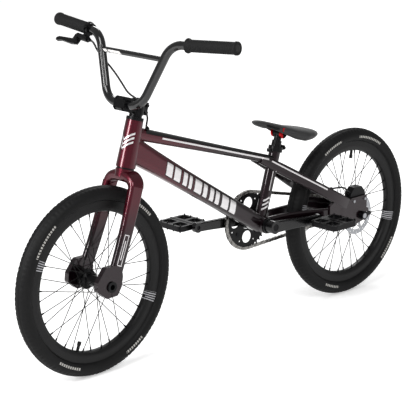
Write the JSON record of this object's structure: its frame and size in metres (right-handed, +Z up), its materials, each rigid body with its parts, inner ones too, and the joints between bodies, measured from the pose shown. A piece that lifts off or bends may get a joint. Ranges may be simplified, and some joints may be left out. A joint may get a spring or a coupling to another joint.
{
  "type": "bmx race bicycle",
  "caption": "Small-wheeled race bicycle with a high riser bar, moulded frame and fork, deep rims, single-speed chain drive and a rear disc brake.",
  "frame": {"origin": "on the ground, halfway between the axles, on the bicycle's middle plane", "axes": "+X forward, +Y to the rider's left, +Z up"},
  "size_m": [1.4463, 0.6692, 0.8732],
  "materials": {
    "candy_paint": "metallic candy burgundy over moulded carbon, clear coated, fading to black",
    "black_alloy": "black anodised",
    "gloss_black_bar": "gloss black paint on alloy tube",
    "carbon_rim": "satin carbon with grey bar marks",
    "tyre_rubber": "matt black, small pale sidewall dashes",
    "soft_rubber": "matt black",
    "black_steel": "black coated steel",
    "bright_steel": "bright steel",
    "chain_steel": "dark and grey oiled steel",
    "pad_compound": "sintered",
    "black_plastic": "moulded black nylon",
    "saddle_cover": "smooth dark grey synthetic cover with a slight sheen",
    "red_anodised": "red anodised"
  },
  "bodies": {
    "frame": {"main_frame": "candy_paint", "headset_bearings": "bright_steel", "bottom_bracket_cups": "black_alloy", "seat_clamp": "black_alloy", "rear_axle": "bright_steel", "chain_tensioners": "black_alloy", "rear_axle_nuts": "black_steel", "brake_caliper": "black_alloy", "caliper_bolts": "bright_steel", "brake_hose_rear": "black_plastic", "hose_grommets": "soft_rubber", "chain": "chain_steel"},
    "pad_left": {"brake_pad_left": "pad_compound"},
    "pad_right": {"brake_pad_right": "pad_compound"},
    "steering": {"fork": "candy_paint", "fork_pinch_bolts": "bright_steel", "front_axle": "black_alloy", "headset_covers": "black_alloy", "steerer_spacers": "black_alloy", "stem": "black_alloy", "stem_faceplate": "black_alloy", "stem_bolts": "black_steel", "stem_top_cap": "black_alloy", "handlebar": "gloss_black_bar", "grip_left": "soft_rubber", "grip_right": "soft_rubber", "bar_end_plugs": "black_plastic", "lever_body": "black_alloy", "lever_clamp": "black_alloy", "brake_hose_front": "black_plastic"},
    "lever": {"lever_blade": "black_alloy"},
    "front_wheel": {"front_hub": "black_alloy", "front_hub_bearings": "bright_steel", "front_spokes": "black_steel", "front_nipples": "black_alloy", "front_rim": "carbon_rim", "front_tyre": "tyre_rubber", "front_inner_tube": "soft_rubber"},
    "rear_wheel": {"rear_hub": "black_alloy", "rear_hub_bearings": "bright_steel", "rear_spokes": "black_steel", "rear_nipples": "black_alloy", "rear_rim": "carbon_rim", "rear_tyre": "tyre_rubber", "rear_inner_tube": "soft_rubber", "brake_rotor": "bright_steel"},
    "driver": {"rear_cog": "black_steel"},
    "crank": {"crank_spindle": "black_steel", "crank_arm_right": "black_alloy", "crank_arm_left": "black_alloy", "chainring": "black_alloy", "chainring_bolts": "black_steel", "pedal_axles": "black_steel"},
    "pedal_right": {"pedal_right": "black_alloy"},
    "pedal_left": {"pedal_left": "black_alloy"},
    "seatpost": {"seatpost": "black_alloy"},
    "saddle": {"saddle_clamp": "red_anodised", "saddle_rails": "black_steel", "saddle": "saddle_cover"}
  },
  "joints": [
    {"name": "steer", "type": "hinge", "parent": "frame", "child": "steering", "pos_m": [0.37, 0, 0.5226], "axis": [-0.2723, 0, 0.9622], "range_deg": [-60, 60], "deforming": ["brake_hose_front"]},
    {"name": "front_wheel_spin", "type": "hinge", "parent": "steering", "child": "front_wheel", "pos_m": [0.47715, 0, 0.246], "axis": [0, 1, 0], "continuous": true},
    {"name": "rear_wheel_spin", "type": "hinge", "parent": "frame", "child": "rear_wheel", "pos_m": [-0.47715, 0, 0.246], "axis": [0, 1, 0], "continuous": true},
    {"name": "crank_spin", "type": "hinge", "parent": "frame", "child": "crank", "pos_m": [-0.1136, 0, 0.281], "axis": [0, 1, 0], "continuous": true, "deforming": ["chain"]},
    {"name": "driver_spin", "type": "hinge", "parent": "frame", "child": "driver", "pos_m": [-0.47715, 0, 0.246], "axis": [0, 1, 0], "continuous": true},
    {"name": "pedal_right_spin", "type": "hinge", "parent": "crank", "child": "pedal_right", "pos_m": [0.06116, -0.122, 0.29016], "axis": [0, 1, 0], "continuous": true},
    {"name": "pedal_left_spin", "type": "hinge", "parent": "crank", "child": "pedal_left", "pos_m": [-0.28836, 0.122, 0.27184], "axis": [0, 1, 0], "continuous": true},
    {"name": "lever_pull", "type": "hinge", "parent": "steering", "child": "lever", "pos_m": [0.35083, -0.21338, 0.81453], "axis": [-0.764, 0.0735, -0.641], "range_deg": [0, 14], "stiffness_Nm_per_rad": 0.6, "springref_deg": -14.32},
    {"name": "pad_left_press", "type": "slide", "parent": "frame", "child": "pad_left", "axis": [0, -1, 0], "range_m": [0, 0.00035]},
    {"name": "pad_right_press", "type": "slide", "parent": "frame", "child": "pad_right", "axis": [0, 1, 0], "range_m": [0, 0.00035]},
    {"name": "seatpost_height", "type": "slide", "parent": "frame", "child": "seatpost", "axis": [-0.2924, 0, 0.9563], "range_m": [-0.012, 0.045]},
    {"name": "saddle_tilt", "type": "hinge", "parent": "seatpost", "child": "saddle", "pos_m": [-0.18989, 0, 0.524], "axis": [0, 1, 0], "range_deg": [-6, 6]}
  ],
  "couplings": [
    {"joint": "driver_spin", "follows": "crank_spin", "ratio": 2.5},
    {"joint": "pad_left_press", "follows": "lever_pull", "m_per_rad": 0.001431},
    {"joint": "pad_right_press", "follows": "lever_pull", "m_per_rad": 0.001431}
  ]
}
